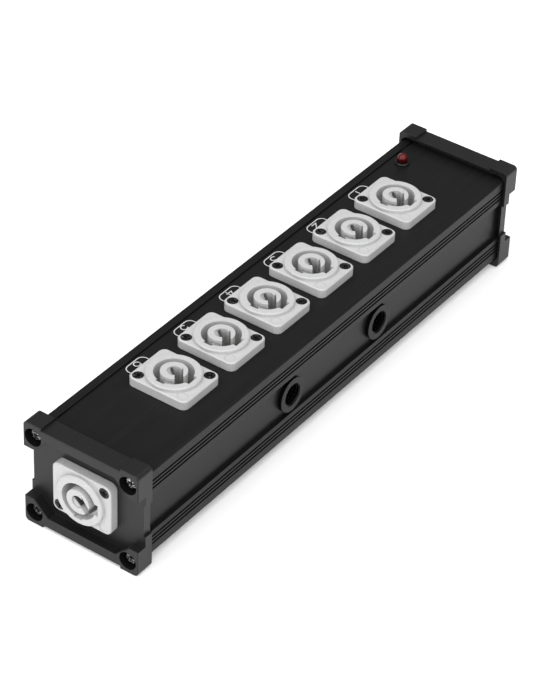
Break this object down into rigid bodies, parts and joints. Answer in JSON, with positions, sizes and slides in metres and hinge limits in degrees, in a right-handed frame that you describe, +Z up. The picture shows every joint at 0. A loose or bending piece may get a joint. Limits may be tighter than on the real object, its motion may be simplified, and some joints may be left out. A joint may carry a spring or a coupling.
{
  "type": "power splitter",
  "caption": "Long black extruded box with moulded end caps that splits mains power from one round twist lock inlet in its end to a row of round twist lock outlets along its top.",
  "frame": {"origin": "on the floor, under the middle of the box", "axes": "+Z up, out of the outlets; +Y along the box, away from the inlet; +X towards the side with the clamp bushes"},
  "size_m": [0.0614, 0.2949, 0.0567],
  "materials": {
    "black_aluminium": "black anodised, fine satin",
    "black_plastic": "moulded, light grain",
    "grey_plastic": "moulded, light grey satin",
    "contact_brass": "plain",
    "bright_steel": "bright zinc plated",
    "black_steel": "blackened",
    "bush_steel": "turned, nickel plated",
    "clear_sleeve": "milky, translucent",
    "brown_wire": "smooth insulation",
    "blue_wire": "smooth insulation",
    "earth_wire": "green with a yellow stripe",
    "lead_insulation": "smooth insulation",
    "tinned_brass": "tinned",
    "red_lens": "translucent red",
    "bezel_grey": "satin grey"
  },
  "bodies": {
    "root": {"cap_screws_inlet": "bright_steel", "cap_screws_plain": "bright_steel", "clamp_bush_far": "bush_steel", "clamp_bush_near": "bush_steel", "earth_lug": "tinned_brass", "earth_screw": "bright_steel", "earth_sleeves": "clear_sleeve", "earth_wires": "earth_wire", "end_cap_inlet": "black_plastic", "end_cap_plain": "black_plastic", "housing": "black_aluminium", "inlet_contacts": "contact_brass", "inlet_core": "grey_plastic", "inlet_screws": "black_steel", "inlet_shell": "grey_plastic", "lamp_bezel": "bezel_grey", "lamp_leads": "lead_insulation", "lamp_lens": "red_lens", "live_sleeves": "clear_sleeve", "live_wires": "brown_wire", "neutral_sleeves": "clear_sleeve", "neutral_wires": "blue_wire", "outlet_1_contacts": "contact_brass", "outlet_1_core": "grey_plastic", "outlet_1_shell": "grey_plastic", "outlet_2_contacts": "contact_brass", "outlet_2_core": "grey_plastic", "outlet_2_shell": "grey_plastic", "outlet_3_contacts": "contact_brass", "outlet_3_core": "grey_plastic", "outlet_3_shell": "grey_plastic", "outlet_4_contacts": "contact_brass", "outlet_4_core": "grey_plastic", "outlet_4_shell": "grey_plastic", "outlet_5_contacts": "contact_brass", "outlet_5_core": "grey_plastic", "outlet_5_shell": "grey_plastic", "outlet_6_contacts": "contact_brass", "outlet_6_core": "grey_plastic", "outlet_6_shell": "grey_plastic", "outlet_screws": "black_steel"}
  },
  "joints": []
}
